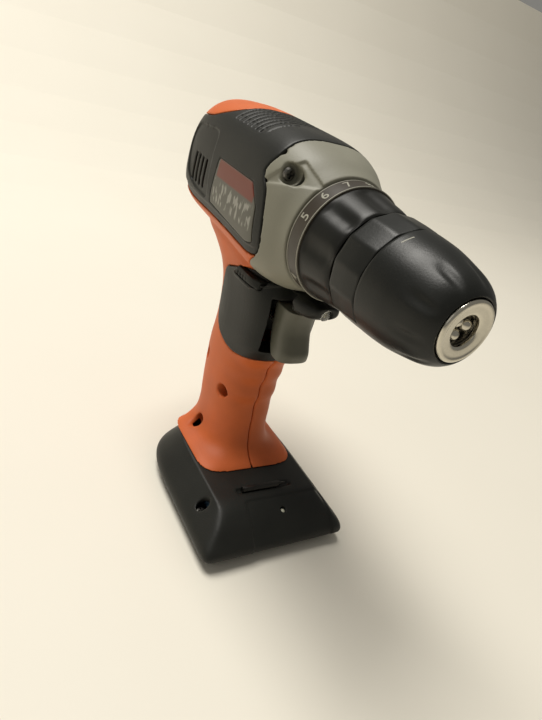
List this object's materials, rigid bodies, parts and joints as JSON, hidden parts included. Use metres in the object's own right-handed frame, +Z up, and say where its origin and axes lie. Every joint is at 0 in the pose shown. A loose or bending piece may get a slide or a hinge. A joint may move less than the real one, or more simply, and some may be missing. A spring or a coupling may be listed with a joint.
{
  "type": "cordless drill",
  "caption": "Pistol-grip cordless drill: keyless chuck, torque collar, planetary gear train, sprung trigger, direction selector and a slim battery foot.",
  "frame": {"origin": "on the underside of the battery foot, below the handle, in the drill's mid-plane", "axes": "+X forward along the chuck, +Y to the drill's left, +Z up"},
  "size_m": [0.184, 0.0826, 0.1888],
  "materials": {
    "orange_plastic": "satin moulded nylon, fine spark texture",
    "black_plastic": "black moulded plastic, fine texture",
    "grey_plastic": "mid grey moulded plastic, satin",
    "trigger_grey": "grey moulded plastic, smooth",
    "chuck_black": "satin black glass-filled nylon",
    "collar_black": "satin black plastic",
    "number_band": "dark brown band with light numbers",
    "steel": "bright machined steel",
    "dark_steel": "dark plated steel",
    "gearbox_metal": "die-cast, matt",
    "clear_plastic": "clear moulded lens",
    "led_white": "LED, pale yellow phosphor",
    "cell_wrap": "heat-shrunk PVC sleeve",
    "circuit_green": "solder mask",
    "plate_grey": "printed plate"
  },
  "bodies": {
    "frame": {"housing_right": "orange_plastic", "housing_left": "orange_plastic", "trigger_surround_right": "black_plastic", "trigger_surround_left": "black_plastic", "data_plate_right": "plate_grey", "data_plate_left": "plate_grey", "motor_cover": "black_plastic", "gear_case": "grey_plastic", "lamp_housing": "black_plastic", "lamp_lens": "clear_plastic", "lamp_led": "led_white", "switch_module": "black_plastic", "trigger_spring": "steel", "handle_screw_1": "dark_steel", "handle_screw_2": "dark_steel", "handle_screw_3": "dark_steel", "gear_case_screw_1": "dark_steel", "gear_case_screw_2": "dark_steel", "foot_screw_1": "dark_steel", "foot_screw_2": "dark_steel", "motor": "dark_steel", "gearbox_housing": "gearbox_metal", "spindle_bearing": "steel", "ring_gear_1": "dark_steel", "ring_gear_2": "dark_steel", "clutch_spring": "steel", "foot_housing": "black_plastic", "base_cover": "black_plastic", "battery_cell_1": "cell_wrap", "battery_cell_2": "cell_wrap", "battery_cell_3": "cell_wrap", "circuit_board": "circuit_green", "charge_light": "led_white", "charge_socket": "black_plastic"},
    "trigger": {"trigger": "trigger_grey"},
    "direction_selector": {"direction_selector": "black_plastic"},
    "torque_collar": {"torque_collar": "collar_black", "number_band": "number_band"},
    "motor_shaft": {"motor_pinion": "steel"},
    "first_carrier": {"first_carrier": "steel"},
    "chuck": {"spindle": "steel", "chuck_body": "steel", "nose_ring": "steel", "rear_sleeve": "chuck_black"},
    "front_sleeve": {"front_sleeve": "chuck_black", "jaw_nut": "steel"},
    "driver_bit": {"driver_bit": "steel"},
    "jaw_1": {"jaw_1": "steel"},
    "jaw_2": {"jaw_2": "steel"},
    "jaw_3": {"jaw_3": "steel"},
    "planet_1a": {"planet_gear_1a": "steel"},
    "planet_1b": {"planet_gear_1b": "steel"},
    "planet_1c": {"planet_gear_1c": "steel"},
    "planet_2a": {"planet_gear_2a": "steel"},
    "planet_2b": {"planet_gear_2b": "steel"},
    "planet_2c": {"planet_gear_2c": "steel"}
  },
  "joints": [
    {"name": "chuck_spin", "type": "hinge", "parent": "frame", "child": "chuck", "pos_m": [0.04, 0, 0.154], "axis": [1, 0, 0], "continuous": true},
    {"name": "first_carrier_spin", "type": "hinge", "parent": "frame", "child": "first_carrier", "pos_m": [-0.0034, 0, 0.154], "axis": [1, 0, 0], "continuous": true},
    {"name": "motor_spin", "type": "hinge", "parent": "frame", "child": "motor_shaft", "pos_m": [-0.02, 0, 0.154], "axis": [1, 0, 0], "continuous": true},
    {"name": "planet_1a_spin", "type": "hinge", "parent": "first_carrier", "child": "planet_1a", "pos_m": [-0.009, 0.0108, 0.154], "axis": [1, 0, 0], "continuous": true},
    {"name": "planet_1b_spin", "type": "hinge", "parent": "first_carrier", "child": "planet_1b", "pos_m": [-0.009, -0.0054, 0.16335], "axis": [1, 0, 0], "continuous": true},
    {"name": "planet_1c_spin", "type": "hinge", "parent": "first_carrier", "child": "planet_1c", "pos_m": [-0.009, -0.0054, 0.14465], "axis": [1, 0, 0], "continuous": true},
    {"name": "planet_2a_spin", "type": "hinge", "parent": "chuck", "child": "planet_2a", "pos_m": [0.0022, 0.0108, 0.154], "axis": [1, 0, 0], "continuous": true},
    {"name": "planet_2b_spin", "type": "hinge", "parent": "chuck", "child": "planet_2b", "pos_m": [0.0022, -0.0054, 0.16335], "axis": [1, 0, 0], "continuous": true},
    {"name": "planet_2c_spin", "type": "hinge", "parent": "chuck", "child": "planet_2c", "pos_m": [0.0022, -0.0054, 0.14465], "axis": [1, 0, 0], "continuous": true},
    {"name": "sleeve_turn", "type": "hinge", "parent": "chuck", "child": "front_sleeve", "pos_m": [0.07, 0, 0.154], "axis": [1, 0, 0], "range_deg": [0, 2700]},
    {"name": "jaw_1_slide", "type": "slide", "parent": "chuck", "child": "jaw_1", "axis": [0.9659, 0.183, -0.183], "range_m": [-0.01505, 0.00005]},
    {"name": "jaw_2_slide", "type": "slide", "parent": "chuck", "child": "jaw_2", "axis": [0.9659, 0.067, 0.25], "range_m": [-0.01505, 0.00005]},
    {"name": "jaw_3_slide", "type": "slide", "parent": "chuck", "child": "jaw_3", "axis": [0.9659, -0.25, -0.067], "range_m": [-0.01505, 0.00005]},
    {"name": "torque_collar_turn", "type": "hinge", "parent": "frame", "child": "torque_collar", "pos_m": [0.027, 0, 0.154], "axis": [1, 0, 0], "range_deg": [-60, 240]},
    {"name": "trigger_pull", "type": "slide", "parent": "frame", "child": "trigger", "axis": [-1, 0, 0], "range_m": [0, 0.006], "stiffness_N_per_m": 800, "springref_m": -0.004, "deforming": ["trigger_spring"]},
    {"name": "direction_selector_slide", "type": "slide", "parent": "frame", "child": "direction_selector", "axis": [0, 1, 0], "range_m": [-0.002, 0.002]},
    {"name": "driver_bit_lift", "type": "slide", "parent": "frame", "child": "driver_bit", "axis": [0, 0, 1], "range_m": [0, 0.03]}
  ],
  "couplings": [
    {"joint": "chuck_spin", "follows": "first_carrier_spin", "ratio": 0.22222},
    {"joint": "motor_spin", "follows": "first_carrier_spin", "ratio": 4.5},
    {"joint": "planet_1a_spin", "follows": "first_carrier_spin", "ratio": -2.8},
    {"joint": "planet_1b_spin", "follows": "first_carrier_spin", "ratio": -2.8},
    {"joint": "planet_1c_spin", "follows": "first_carrier_spin", "ratio": -2.8},
    {"joint": "planet_2a_spin", "follows": "first_carrier_spin", "ratio": -0.62222},
    {"joint": "planet_2b_spin", "follows": "first_carrier_spin", "ratio": -0.62222},
    {"joint": "planet_2c_spin", "follows": "first_carrier_spin", "ratio": -0.62222},
    {"joint": "jaw_1_slide", "follows": "sleeve_turn", "m_per_rad": -0.00031831},
    {"joint": "jaw_2_slide", "follows": "sleeve_turn", "m_per_rad": -0.00031831},
    {"joint": "jaw_3_slide", "follows": "sleeve_turn", "m_per_rad": -0.00031831}
  ]
}
